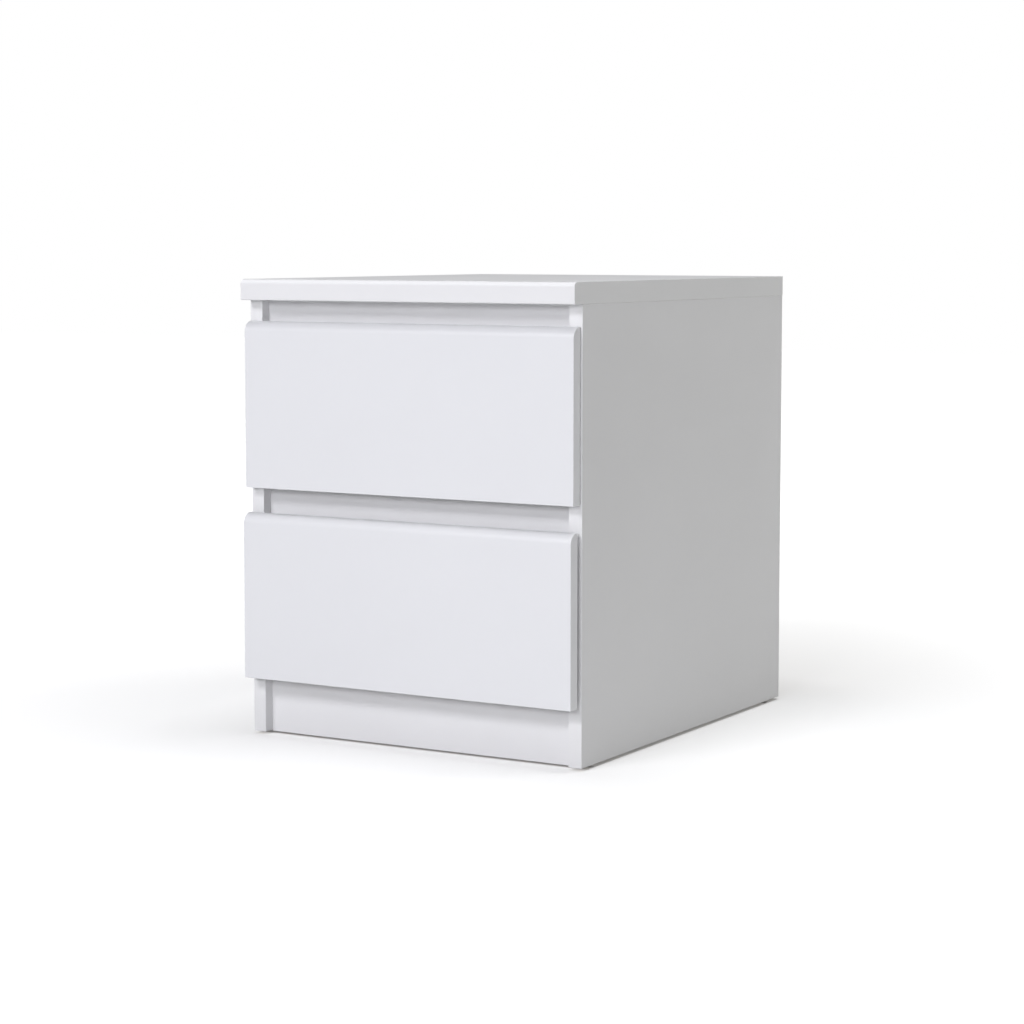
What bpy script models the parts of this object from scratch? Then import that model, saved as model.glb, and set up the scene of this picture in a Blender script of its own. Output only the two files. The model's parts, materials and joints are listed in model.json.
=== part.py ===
"""Bedside chest with two drawers, on side-mounted roller runners.

Units are metres. +X is right as seen from the front, +Y is towards the back, +Z is up.
The origin is on the floor, under the middle of the outline. The upper drawer is shut and
the lower drawer stands slightly open, and both slide out towards -Y.
"""

import math

import bmesh
import bpy
from mathutils import Matrix, Vector

# Carcass
BODY_WIDTH = 0.400
SIDE_DEPTH = 0.472
SIDE_THICKNESS = 0.015
OVERALL_HEIGHT = 0.486
TOP_THICKNESS = 0.022
TOP_SIDE_OVERHANG = 0.0005
TOP_FRONT_OVERHANG = 0.017
TOP_UPPER_ROUND = 0.005
TOP_LOWER_ROUND = 0.0015
GLIDE_HEIGHT = 0.003
PLINTH_BOTTOM = 0.002
GLIDE_RADIUS = 0.007
GLIDE_INSET = 0.028
BACK_THICKNESS = 0.003
BACK_BOTTOM = 0.012
REBATE_WIDTH = 0.008
RAIL_THICKNESS = 0.015
RAIL_RECESS = 0.0122
RAIL_DROP = 0.037
RAIL_RISE = 0.0085
REAR_RAIL_HEIGHT = 0.060

# Drawers
FRONT_THICKNESS = 0.014
FRONT_HEIGHT = 0.176
FRONT_SIDE_INSET = 0.002
FRONT_ROUND = 0.0115
FRONT_BOTTOM = {"upper": 0.266, "lower": 0.0635}
OPENED_BY = {"upper": 0.0, "lower": 0.005}
BOX_RISE = 0.014
BOX_HEIGHT = 0.120
BOX_LENGTH = 0.400
BOX_BOARD = 0.012
RUNNER_SPACE = 0.0125
GROOVE_RISE = 0.008
GROOVE_DEPTH = 0.005
BOTTOM_THICKNESS = 0.003
DRAWER_TRAVEL = 0.300

# Runners, across from the wall of the cabinet and up from the underside of the drawer box
SHEET = 0.0012
CHANNEL_PATH = (
    (0.0092, 0.0015),
    (0.0092, -0.0009),
    (0.0009, -0.0009),
    (0.0009, 0.0201),
    (0.0060, 0.0201),
)
ANGLE_PATH = ((0.0035, 0.0176), (0.0116, 0.0176), (0.0116, -0.0009), (0.022, -0.0009))
RUNNER_SETBACK = 0.002
ROLLER_RADIUS = 0.008
ROLLER_BORE = 0.0028
ROLLER_NEAR = 0.0031
ROLLER_FAR = 0.0081
STUB_RADIUS = 0.0025
RIVET_RADIUS = 0.0040
RIVET_THICKNESS = 0.0008
FRONT_ROLLER_Y = 0.011
FRONT_ROLLER_Z = 0.0087
REAR_ROLLER_Y = 0.009
REAR_ROLLER_Z = 0.0080
STOP_HEIGHT = 0.003
STOP_LENGTH = 0.006

# Fasteners
CAM_RADIUS = 0.0072
CAM_DEPTH = 0.012
CAM_SETBACK = 0.024
TOP_CAM_INSET = 0.075
SMALL_CAM_RADIUS = 0.0057
SMALL_CAM_DEPTH = 0.009
SMALL_CAM_RISE = 0.078

GAP = 0.0003
CAM_SEGMENTS = 24
ROLLER_SEGMENTS = 28
STUB_SEGMENTS = 16
SCREW_MERGE = 0.00001
CUT_MARGIN = 0.010

# Places that follow from the sizes
HALF_WIDTH = BODY_WIDTH / 2
INNER_X = HALF_WIDTH - SIDE_THICKNESS
OVERALL_DEPTH = SIDE_DEPTH + GAP + FRONT_THICKNESS + max(OPENED_BY.values())
REAR_Y = OVERALL_DEPTH / 2
FACE_Y = REAR_Y - SIDE_DEPTH
BACK_Y = REAR_Y - BACK_THICKNESS
TOP_UNDERSIDE = OVERALL_HEIGHT - TOP_THICKNESS
BOARD_TOP = TOP_UNDERSIDE - GAP
RAIL_Y = FACE_Y + RAIL_RECESS
BOX_X = INNER_X - RUNNER_SPACE
RAIL_X = INNER_X - GAP
CAM_RECESS = GAP

MATERIALS = {
    "white_foil": ((0.82, 0.82, 0.83), 0.42, 0.0),
    "white_lacquer": ((0.84, 0.84, 0.85), 0.35, 0.0),
    "hardboard": ((0.36, 0.23, 0.13), 0.75, 0.0),
    "runner_steel": ((0.80, 0.80, 0.79), 0.38, 0.0),
    "nylon": ((0.78, 0.77, 0.73), 0.45, 0.0),
    "zinc": ((0.55, 0.55, 0.56), 0.40, 1.0),
    "glide_plastic": ((0.70, 0.70, 0.69), 0.50, 0.0),
}

PARTS = bpy.data.collections.new("bedside_chest")
CUTTERS = bpy.data.collections.new("cutters")


def clear_scene():
    for obj in list(bpy.data.objects):
        bpy.data.objects.remove(obj, do_unlink=True)
    bpy.context.scene.collection.children.link(PARTS)
    bpy.context.scene.collection.children.link(CUTTERS)


def material(name):
    found = bpy.data.materials.get(name)
    if found:
        return found
    colour, roughness, metallic = MATERIALS[name]
    made = bpy.data.materials.new(name)
    made.use_nodes = True
    shader = made.node_tree.nodes["Principled BSDF"]
    shader.inputs["Base Color"].default_value = (*colour, 1)
    shader.inputs["Roughness"].default_value = roughness
    shader.inputs["Metallic"].default_value = metallic
    return made


def add_object(name, bm, centre, look, parent=None, smooth=False):
    """A part whose mesh is in bm, about its own origin, which stands at centre in the world."""
    mesh = bpy.data.meshes.new(name)
    bmesh.ops.recalc_face_normals(bm, faces=bm.faces)
    bm.to_mesh(mesh)
    bm.free()
    if smooth:
        mesh.shade_smooth()
        mesh.set_sharp_from_angle(angle=math.radians(35))
    obj = bpy.data.objects.new(name, mesh)
    PARTS.objects.link(obj)
    mesh.materials.append(material(look))
    place(obj, centre, parent)
    return obj


def place(obj, centre, parent=None):
    obj.location = Vector(centre) - (parent.location if parent else Vector())
    obj.parent = parent


def box_mesh(low, high):
    """A box between two corners, as a bmesh about the box's middle, and that middle."""
    low, high = Vector(low), Vector(high)
    bm = bmesh.new()
    bmesh.ops.create_cube(bm, size=1)
    bmesh.ops.scale(bm, vec=high - low, verts=bm.verts)
    return bm, (low + high) / 2


def board(name, low, high, look="white_foil", parent=None):
    bm, centre = box_mesh(low, high)
    return add_object(name, bm, centre, look, parent)


def round_edge(bm, side_y, side_z, radius, segments):
    """Rounds the edge along X that lies on the given sides of the mesh, each -1 or +1."""
    edges = [
        edge
        for edge in bm.edges
        if all(v.co.y * side_y > 0 and v.co.z * side_z > 0 for v in edge.verts)
    ]
    bmesh.ops.bevel(
        bm,
        geom=edges,
        offset=radius,
        offset_type="OFFSET",
        segments=segments,
        profile=0.5,
        affect="EDGES",
    )


def cut(obj, cutter):
    add_boolean(obj, cutter, "DIFFERENCE")


def join(obj, other):
    add_boolean(obj, other, "UNION")


def add_boolean(obj, other, operation):
    """Cuts the other shape out of the part, or makes it one body with it, and hides the other shape."""
    for collection in list(other.users_collection):
        collection.objects.unlink(other)
    CUTTERS.objects.link(other)
    other.hide_render = True
    other.display_type = "WIRE"
    modifier = obj.modifiers.new(other.name, "BOOLEAN")
    modifier.operation = operation
    modifier.solver = "EXACT"
    modifier.object = other


def cylinder_mesh(radius, length, axis, segments):
    """A closed cylinder about its own middle, lying along the axis X, Y or Z."""
    bm = bmesh.new()
    bmesh.ops.create_cone(
        bm,
        cap_ends=True,
        segments=segments,
        radius1=radius,
        radius2=radius,
        depth=length,
    )
    turn = {
        "X": Matrix.Rotation(math.pi / 2, 3, "Y"),
        "Y": Matrix.Rotation(math.pi / 2, 3, "X"),
        "Z": Matrix.Identity(3),
    }
    bmesh.ops.rotate(bm, cent=Vector(), matrix=turn[axis], verts=bm.verts)
    return bm


def cylinder(name, centre, radius, length, axis, look, parent=None, segments=CAM_SEGMENTS):
    bm = cylinder_mesh(radius, length, axis, segments)
    return add_object(name, bm, centre, look, parent, smooth=True)


def cam_lock(name, host, centre, inward, radius, depth, parent=None):
    """A round cam set in the face of a board: centre lies on the face, inward points into the board."""
    inward = Vector(inward)
    axis = "XYZ"[[abs(round(part)) for part in inward].index(1)]
    centre = Vector(centre)
    hole_depth = depth + CAM_RECESS + GAP
    hole_low = centre - inward * CUT_MARGIN
    hole_high = centre + inward * hole_depth
    hole = cylinder(
        f"{name}_hole",
        (hole_low + hole_high) / 2,
        radius + GAP,
        hole_depth + CUT_MARGIN,
        axis,
        "white_foil",
        parent,
    )
    cut(host, hole)
    middle = centre + inward * (CAM_RECESS + depth / 2)
    cylinder(name, middle, radius, depth, axis, "zinc", parent)


def top_panel():
    low = (-HALF_WIDTH - TOP_SIDE_OVERHANG, FACE_Y - TOP_FRONT_OVERHANG, TOP_UNDERSIDE)
    high = (HALF_WIDTH + TOP_SIDE_OVERHANG, REAR_Y, OVERALL_HEIGHT)
    bm, centre = box_mesh(low, high)
    round_edge(bm, -1, 1, TOP_UPPER_ROUND, 6)
    round_edge(bm, -1, -1, TOP_LOWER_ROUND, 3)
    add_object("top_panel", bm, centre, "white_foil")


def side_panel(name, side):
    """A side board with a rebate for the back panel and the two cams that pull the top down."""
    low = (min(side * INNER_X, side * HALF_WIDTH), FACE_Y, GLIDE_HEIGHT)
    high = (max(side * INNER_X, side * HALF_WIDTH), REAR_Y, BOARD_TOP)
    panel = board(name, low, high)
    rebate_x = sorted((side * (INNER_X - CUT_MARGIN), side * (INNER_X + REBATE_WIDTH)))
    rebate = board(
        f"{name}_rebate",
        (rebate_x[0], BACK_Y - GAP, GLIDE_HEIGHT - CUT_MARGIN),
        (rebate_x[1], REAR_Y + CUT_MARGIN, BOARD_TOP + CUT_MARGIN),
    )
    cut(panel, rebate)
    side_name = name.split("_")[0]
    for end_name, y in (("front", FACE_Y + TOP_CAM_INSET), ("rear", REAR_Y - TOP_CAM_INSET)):
        cam_lock(
            f"{side_name}_{end_name}_top_cam",
            panel,
            (side * INNER_X, y, BOARD_TOP - CAM_SETBACK),
            (side, 0, 0),
            CAM_RADIUS,
            CAM_DEPTH,
        )


def back_panel():
    half = INNER_X + REBATE_WIDTH - GAP
    board("back_panel", (-half, BACK_Y, BACK_BOTTOM), (half, REAR_Y, BOARD_TOP), "hardboard")


def cross_board(name, y_low, z_low, z_high, cams_face):
    """A board across the carcass, with a cam near each end in its front (-1) or rear (+1) face."""
    rail = board(
        name,
        (-RAIL_X, y_low, z_low),
        (RAIL_X, y_low + RAIL_THICKNESS, z_high),
    )
    face_y = y_low + (RAIL_THICKNESS if cams_face > 0 else 0)
    for side, side_name in ((-1, "left"), (1, "right")):
        cam_lock(
            f"{name}_{side_name}_cam",
            rail,
            (side * (RAIL_X - CAM_SETBACK), face_y, (z_low + z_high) / 2),
            (0, -cams_face, 0),
            CAM_RADIUS,
            CAM_DEPTH,
        )


def cross_boards():
    """Each front rail reaches down behind the drawer front below it, which leaves a finger pocket."""
    upper_rail_bottom = FRONT_BOTTOM["upper"] + FRONT_HEIGHT - RAIL_DROP
    middle_rail_bottom = FRONT_BOTTOM["lower"] + FRONT_HEIGHT - RAIL_DROP
    rear_y = BACK_Y - GAP - RAIL_THICKNESS
    cross_board("upper_front_rail", RAIL_Y, upper_rail_bottom, BOARD_TOP, 1)
    cross_board("middle_front_rail", RAIL_Y, middle_rail_bottom, FRONT_BOTTOM["upper"] + RAIL_RISE, 1)
    cross_board("plinth_board", RAIL_Y, PLINTH_BOTTOM, FRONT_BOTTOM["lower"] + RAIL_RISE, 1)
    cross_board("rear_top_rail", rear_y, BOARD_TOP - REAR_RAIL_HEIGHT, BOARD_TOP, -1)
    cross_board("rear_bottom_rail", rear_y, BACK_BOTTOM, BACK_BOTTOM + REAR_RAIL_HEIGHT, -1)


def glides():
    for side, side_name in ((-1, "left"), (1, "right")):
        for end_name, y in (("front", FACE_Y + GLIDE_INSET), ("rear", REAR_Y - GLIDE_INSET)):
            cylinder(
                f"{side_name}_{end_name}_glide",
                (side * (HALF_WIDTH - SIDE_THICKNESS / 2), y, (GLIDE_HEIGHT - GAP) / 2),
                GLIDE_RADIUS,
                GLIDE_HEIGHT - GAP,
                "Z",
                "glide_plastic",
            )


def bent_strip(name, side, path, box_bottom, y_low, length, parent=None):
    """A folded steel strip along Y: the path gives the middle of the sheet across a section."""
    bm = bmesh.new()
    rows = []
    for across, up in path:
        x = side * (INNER_X - across)
        z = box_bottom + up
        rows.append([bm.verts.new((x, y, z)) for y in (0, length)])
    for first, second in zip(rows, rows[1:]):
        bm.faces.new((first[0], first[1], second[1], second[0]))
    strip = add_object(name, bm, (0, y_low, 0), "runner_steel", parent)
    sheet = strip.modifiers.new("sheet", "SOLIDIFY")
    sheet.thickness = SHEET
    sheet.offset = 0
    sheet.use_even_offset = True
    return strip


def stub_axle(runner, side, from_across, to_across, y, z, parent=None):
    """The stub that a roller turns on, with a riveted head at its free end."""
    outwards = 1 if to_across > from_across else -1
    head_across = to_across + outwards * (RIVET_THICKNESS / 2 - GAP)
    middle_across = (from_across + to_across) / 2
    length = abs(to_across - from_across)
    for piece, across, radius, thickness in (
        ("stub", middle_across, STUB_RADIUS, length),
        ("rivet", head_across, RIVET_RADIUS, RIVET_THICKNESS),
    ):
        centre = (side * (INNER_X - across), y, z)
        name = f"{runner.name}_{piece}"
        join(runner, cylinder(name, centre, radius, thickness, "X", "runner_steel", parent, STUB_SEGMENTS))


def roller(name, side, y, z, parent=None):
    """A nylon wheel: a ring section turned about its axle, which lies along X."""
    width = ROLLER_FAR - ROLLER_NEAR
    ring = (
        (ROLLER_RADIUS, width / 2),
        (ROLLER_RADIUS, -width / 2),
        (ROLLER_BORE, -width / 2),
        (ROLLER_BORE, width / 2),
    )
    bm = bmesh.new()
    corners = [bm.verts.new((radius, 0, along)) for radius, along in ring]
    for first, second in zip(corners, corners[1:] + corners[:1]):
        bm.edges.new((first, second))
    across = (ROLLER_NEAR + ROLLER_FAR) / 2
    wheel = add_object(name, bm, (side * (INNER_X - across), y, z), "nylon", parent)
    wheel.rotation_euler = (0, math.pi / 2, 0)
    turned = wheel.modifiers.new("turned", "SCREW")
    turned.steps = ROLLER_SEGMENTS
    turned.render_steps = ROLLER_SEGMENTS
    turned.use_merge_vertices = True
    turned.merge_threshold = SCREW_MERGE


def cabinet_runner(level, side, side_name, box_bottom):
    """The channel on the side panel, with its roller, and the bump that stops the drawer."""
    name = f"{level}_{side_name}_cabinet_runner"
    y_low = FACE_Y + RUNNER_SETBACK
    channel = bent_strip(name, side, CHANNEL_PATH, box_bottom, y_low, BOX_LENGTH)
    y = y_low + FRONT_ROLLER_Y
    z = box_bottom + FRONT_ROLLER_Z
    stub_axle(channel, side, SHEET, ROLLER_FAR + 2 * GAP, y, z)
    roller(f"{level}_{side_name}_front_roller", side, y, z)
    ledge_top = box_bottom + CHANNEL_PATH[1][1] + SHEET / 2
    reach = math.sqrt(ROLLER_RADIUS**2 - (ROLLER_RADIUS - STOP_HEIGHT) ** 2)
    rear_roller_y = FACE_Y + BOX_LENGTH - REAR_ROLLER_Y
    bump_y = rear_roller_y - DRAWER_TRAVEL - reach - GAP
    bump_x = sorted((side * (INNER_X - ROLLER_NEAR), side * (INNER_X - ROLLER_FAR)))
    bump = board(
        f"{name}_stop",
        (bump_x[0], bump_y - STOP_LENGTH, ledge_top - SHEET / 2),
        (bump_x[1], bump_y, ledge_top + STOP_HEIGHT),
        "runner_steel",
    )
    join(channel, bump)


def drawer_runner(level, side, side_name, box_bottom, opened_by, parent):
    """The angle under the drawer side, with a roller at its rear end."""
    name = f"{level}_{side_name}_drawer_runner"
    y_low = FACE_Y - opened_by
    angle = bent_strip(name, side, ANGLE_PATH, box_bottom, y_low, BOX_LENGTH, parent)
    y = y_low + BOX_LENGTH - REAR_ROLLER_Y
    z = box_bottom + REAR_ROLLER_Z
    stub_axle(angle, side, RUNNER_SPACE - SHEET, ROLLER_NEAR - 2 * GAP, y, z, parent)
    roller(f"{level}_{side_name}_rear_roller", side, y, z, parent)


def bottom_groove(host, name, low, high, parent):
    cut(host, board(f"{name}_groove", low, high, "white_foil", parent))


def drawer(level):
    """A drawer box behind its front, carried by an empty on the line of its slide."""
    opened_by = OPENED_BY[level]
    front_bottom = FRONT_BOTTOM[level]
    box_bottom = front_bottom + BOX_RISE
    box_front = FACE_Y - opened_by
    box_rear = box_front + BOX_LENGTH
    carrier = bpy.data.objects.new(f"{level}_drawer_slide", None)
    carrier.location = (0, box_front, box_bottom)
    PARTS.objects.link(carrier)

    groove_low = box_bottom + GROOVE_RISE
    groove_high = groove_low + BOTTOM_THICKNESS + 2 * GAP
    inner_x = BOX_X - BOX_BOARD
    groove_x = inner_x + GROOVE_DEPTH

    half = HALF_WIDTH - FRONT_SIDE_INSET
    face_rear = box_front - GAP
    bm, centre = box_mesh(
        (-half, face_rear - FRONT_THICKNESS, front_bottom),
        (half, face_rear, front_bottom + FRONT_HEIGHT),
    )
    round_edge(bm, -1, 1, FRONT_ROUND, 8)
    front = add_object(f"{level}_drawer_front", bm, centre, "white_lacquer", carrier)
    bottom_groove(
        front,
        f"{level}_front",
        (-groove_x, face_rear - GROOVE_DEPTH, groove_low),
        (groove_x, face_rear + CUT_MARGIN, groove_high),
        carrier,
    )

    for side, side_name in ((-1, "left"), (1, "right")):
        outer, inner = side * BOX_X, side * inner_x
        wall = board(
            f"{level}_drawer_{side_name}_side",
            (min(outer, inner), box_front, box_bottom),
            (max(outer, inner), box_rear, box_bottom + BOX_HEIGHT),
            "white_foil",
            carrier,
        )
        cut_x = sorted((side * groove_x, side * (inner_x - CUT_MARGIN)))
        bottom_groove(
            wall,
            f"{level}_{side_name}_side",
            (cut_x[0], box_front - CUT_MARGIN, groove_low),
            (cut_x[1], box_rear + CUT_MARGIN, groove_high),
            carrier,
        )
        cam_lock(
            f"{level}_drawer_{side_name}_cam",
            wall,
            (inner, box_front + CAM_SETBACK, box_bottom + SMALL_CAM_RISE),
            (side, 0, 0),
            SMALL_CAM_RADIUS,
            SMALL_CAM_DEPTH,
            carrier,
        )
        drawer_runner(level, side, side_name, box_bottom, opened_by, carrier)
        cabinet_runner(level, side, side_name, box_bottom)

    board(
        f"{level}_drawer_back",
        (-inner_x + GAP, box_rear - BOX_BOARD, groove_high),
        (inner_x - GAP, box_rear, box_bottom + BOX_HEIGHT),
        "white_foil",
        carrier,
    )
    board(
        f"{level}_drawer_bottom",
        (-groove_x + GAP, face_rear - GROOVE_DEPTH + GAP, groove_low + GAP),
        (groove_x - GAP, box_rear, groove_high - GAP),
        "hardboard",
        carrier,
    )


def main():
    clear_scene()
    top_panel()
    side_panel("left_side_panel", -1)
    side_panel("right_side_panel", 1)
    back_panel()
    cross_boards()
    glides()
    drawer("upper")
    drawer("lower")


main()
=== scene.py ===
"""White bedside chest with two drawers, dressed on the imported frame. Metres, +Z up, front towards -Y."""

import json
import math

import bmesh
import bpy
from mathutils import Matrix, Vector


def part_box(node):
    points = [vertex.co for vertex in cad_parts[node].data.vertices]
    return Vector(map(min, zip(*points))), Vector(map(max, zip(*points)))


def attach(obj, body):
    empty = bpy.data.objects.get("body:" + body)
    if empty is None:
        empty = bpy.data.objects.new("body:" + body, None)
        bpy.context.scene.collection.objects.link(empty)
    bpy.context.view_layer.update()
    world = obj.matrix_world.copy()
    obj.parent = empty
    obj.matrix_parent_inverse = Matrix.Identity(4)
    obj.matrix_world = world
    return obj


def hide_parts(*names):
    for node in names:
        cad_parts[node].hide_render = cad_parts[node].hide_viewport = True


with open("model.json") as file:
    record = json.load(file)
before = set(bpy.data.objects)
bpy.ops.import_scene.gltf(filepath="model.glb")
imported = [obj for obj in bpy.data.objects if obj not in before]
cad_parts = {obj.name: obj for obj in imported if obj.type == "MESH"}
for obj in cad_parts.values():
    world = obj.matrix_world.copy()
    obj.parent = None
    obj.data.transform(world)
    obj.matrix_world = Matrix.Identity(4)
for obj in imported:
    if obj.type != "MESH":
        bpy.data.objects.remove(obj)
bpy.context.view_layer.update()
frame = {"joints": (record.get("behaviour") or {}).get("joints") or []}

# Joinery sizes
ARRIS = 0.0005
TOP_NOSING = 0.005
TOP_LOWER_NOSING = 0.0015
PULL_ROUND = 0.0115
WRAP_ROUND = 0.0018
REBATE = 0.008
GROOVE_RISE = 0.008
GROOVE_DEPTH = 0.005
GROOVE_WIDTH = 0.0036
CAM_CLEARANCE = 0.0003
JOINT_CLOSING = 0.00025
HAIR_ARRIS = 0.0003
FRONT_ARRIS = 0.0006
TOUCH = 1e-5

# Runner sizes
SHEET = 0.0012
BEND = 0.0014
BEND_STEPS = 5
SCREW_HEAD_RADIUS = 0.0034
SCREW_HEAD_HEIGHT = 0.0019
HOLE_RADIUS = 0.0021
SLOT_LENGTH = 0.0090
PUNCH_LENGTH = 0.006
HOLE_PITCH = 0.064
HOLE_SETBACK, HOLE_COUNT = 0.037, 6
SLOT_SETBACK, SLOT_COUNT = 0.069, 5
SCREW_PITCH, SCREW_COUNT = 0.160, 3
LIP_RISE = 0.0030
FLANGE_REACH = 0.0057
CHANNEL_HOLE_RISE = 0.0115
MOUTH_LENGTH = 0.030
MOUTH_DEPTH = 0.004
MOUTH_WALL = 0.0012
ANGLE_RISE = 0.0176
ANGLE_EDGE = 0.0009
ANGLE_HOLE_RISE = 0.0085
NOTCH_LEAD = 0.004
NOTCH_HALF_HEIGHT = 0.003
BUMP_RISE = 0.003
BUMP_LENGTH = 0.006
BUMP_SLOPE = 0.0012
STUB_RADIUS = 0.0025
RIVET_RADIUS = 0.0038
STUB_REACH = 0.0002
WHEEL_BORE = 0.0027

# Nails, corner screws and weave
NAIL_SPACING = 0.058
NAIL_INSET = 0.0045
NAIL_RADIUS = 0.0013
NAIL_RISE = 0.0003
FLOOR_NAILS = 4
GLIDE_NAIL_SINK = 0.0012
FLOOR_TUCK = 0.0002
CORNER_SCREW_RISE = 0.026
CORNER_SCREW_PITCH = 0.058
CORNER_SCREW_SINK = 0.0009
WEAVE_PITCH = 0.0016

LEVELS = ("upper", "lower")
SIDES = (("left", -1), ("right", 1))
AXIS_TURN = {
    "X": Matrix.Rotation(math.pi / 2, 4, "Y"),
    "-X": Matrix.Rotation(-math.pi / 2, 4, "Y"),
    "Z": Matrix.Identity(4),
}


# ---------------------------------------------------------------- finishes

def start_finish(name):
    """An empty Principled material: its tree, its shader and the object coordinates."""
    made = bpy.data.materials.new(name)
    made.use_nodes = True
    tree = made.node_tree
    shader = tree.nodes["Principled BSDF"]
    place = tree.nodes.new("ShaderNodeTexCoord").outputs["Object"]
    return made, tree, shader, place


def stretch(tree, place, scale):
    node = tree.nodes.new("ShaderNodeMapping")
    node.inputs["Scale"].default_value = scale
    tree.links.new(place, node.inputs["Vector"])
    return node.outputs["Vector"]


def noise(tree, place, scale, detail, roughness=0.5):
    node = tree.nodes.new("ShaderNodeTexNoise")
    node.inputs["Scale"].default_value = scale
    node.inputs["Detail"].default_value = detail
    node.inputs["Roughness"].default_value = roughness
    tree.links.new(place, node.inputs["Vector"])
    return node.outputs["Fac"]


def cells(tree, place, scale, output="Color"):
    node = tree.nodes.new("ShaderNodeTexVoronoi")
    node.inputs["Scale"].default_value = scale
    tree.links.new(place, node.inputs["Vector"])
    return node.outputs[output]


def spread(tree, value, low, high, from_low=0.3, from_high=0.7):
    """The value between from_low and from_high, as one between low and high."""
    node = tree.nodes.new("ShaderNodeMapRange")
    node.inputs["From Min"].default_value = from_low
    node.inputs["From Max"].default_value = from_high
    node.inputs["To Min"].default_value = low
    node.inputs["To Max"].default_value = high
    tree.links.new(value, node.inputs["Value"])
    return node.outputs["Result"]


def tones(tree, value, *stops):
    """A colour ramp through (position, (r, g, b)) stops."""
    node = tree.nodes.new("ShaderNodeValToRGB")
    ramp = node.color_ramp
    while len(ramp.elements) < len(stops):
        ramp.elements.new(0.5)
    for element, (position, colour) in zip(ramp.elements, stops):
        element.position = position
        element.color = (*colour, 1)
    tree.links.new(value, node.inputs["Fac"])
    return node.outputs["Color"]


def faint_tones(tree, value, dark, light):
    """A soft change between two close colours."""
    return tones(tree, value, (0.30, dark), (0.70, light))


def combine(tree, first, second, operation="ADD"):
    node = tree.nodes.new("ShaderNodeMath")
    node.operation = operation
    for socket, value in zip(node.inputs, (first, second)):
        if isinstance(value, (int, float)):
            socket.default_value = value
        else:
            tree.links.new(value, socket)
    return node.outputs["Value"]


def blend_colours(tree, amount, first, second, blend="MIX"):
    node = tree.nodes.new("ShaderNodeMix")
    node.data_type = "RGBA"
    node.blend_type = blend
    sockets = {socket.identifier: socket for socket in node.inputs}
    for key, value in (("Factor_Float", amount), ("A_Color", first), ("B_Color", second)):
        if isinstance(value, bpy.types.NodeSocket):
            tree.links.new(value, sockets[key])
        elif isinstance(value, tuple):
            sockets[key].default_value = (*value, 1)
        else:
            sockets[key].default_value = value
    return next(socket for socket in node.outputs if socket.identifier == "Result_Color")


def relief(tree, shader, height, strength, distance):
    """Bump from a height between 0 and 1, over the distance in metres."""
    node = tree.nodes.new("ShaderNodeBump")
    node.inputs["Strength"].default_value = strength
    node.inputs["Distance"].default_value = distance
    tree.links.new(height, node.inputs["Height"])
    tree.links.new(node.outputs["Normal"], shader.inputs["Normal"])


def set_colour(tree, shader, colour):
    tree.links.new(colour, shader.inputs["Base Color"])


def set_roughness(tree, shader, value):
    tree.links.new(value, shader.inputs["Roughness"])


def white_foil():
    """Melamine foil on particle board: a fine pearl emboss and faint unevenness in its sheen."""
    made, tree, shader, place = start_finish("white_foil")
    broad = noise(tree, place, 4.5, 3)
    set_colour(tree, shader, faint_tones(tree, broad, (0.855, 0.855, 0.862), (0.875, 0.875, 0.882)))
    handled = noise(tree, place, 16.0, 4)
    set_roughness(tree, shader, spread(tree, handled, 0.40, 0.52))
    pearl = cells(tree, place, 950.0, "Distance")
    pores = noise(tree, place, 420.0, 3)
    relief(tree, shader, combine(tree, pearl, pores), 0.10, 0.00012)
    return made


def white_lacquer():
    """Sprayed satin lacquer on fibreboard, with a very slight orange peel."""
    made, tree, shader, place = start_finish("white_lacquer")
    broad = noise(tree, place, 3.5, 2)
    set_colour(tree, shader, faint_tones(tree, broad, (0.852, 0.858, 0.875), (0.866, 0.872, 0.889)))
    handled = noise(tree, place, 11.0, 4)
    set_roughness(tree, shader, spread(tree, handled, 0.30, 0.38))
    peel = noise(tree, place, 260.0, 2)
    relief(tree, shader, peel, 0.06, 0.0002)
    shader.inputs["Coat Weight"].default_value = 0.12
    shader.inputs["Coat Roughness"].default_value = 0.22
    return made


def white_edge_band():
    """Thin plastic edging, a trace warmer than the foil, with fine lines from the extruder."""
    made, tree, shader, place = start_finish("white_edge_band")
    broad = noise(tree, place, 9.0, 2)
    set_colour(tree, shader, faint_tones(tree, broad, (0.865, 0.866, 0.870), (0.882, 0.883, 0.886)))
    lines = noise(tree, stretch(tree, place, (1.0, 1.0, 0.03)), 900.0, 2)
    set_roughness(tree, shader, spread(tree, lines, 0.38, 0.50))
    relief(tree, shader, lines, 0.08, 0.0001)
    return made


def raw_chipboard():
    """The sawn edge of particle board: pale and dark chips with open gaps between them."""
    made, tree, shader, place = start_finish("raw_chipboard")
    coarse = cells(tree, stretch(tree, place, (1.0, 1.0, 1.8)), 640.0)
    fine = cells(tree, place, 1600.0)
    split = tree.nodes.new("ShaderNodeSeparateColor")
    tree.links.new(coarse, split.inputs["Color"])
    chips = tones(
        tree,
        split.outputs["Red"],
        (0.0, (0.20, 0.12, 0.065)),
        (0.30, (0.42, 0.28, 0.16)),
        (0.65, (0.58, 0.43, 0.27)),
        (1.0, (0.70, 0.57, 0.40)),
    )
    dust = tree.nodes.new("ShaderNodeSeparateColor")
    tree.links.new(fine, dust.inputs["Color"])
    speck = tones(tree, dust.outputs["Green"], (0.0, (0.30, 0.19, 0.11)), (1.0, (0.74, 0.62, 0.46)))
    set_colour(tree, shader, blend_colours(tree, 0.35, chips, speck))
    shader.inputs["Roughness"].default_value = 0.88
    gaps = cells(tree, place, 520.0, "Distance")
    relief(tree, shader, combine(tree, gaps, noise(tree, place, 900.0, 3)), 0.55, 0.0004)
    return made


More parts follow.
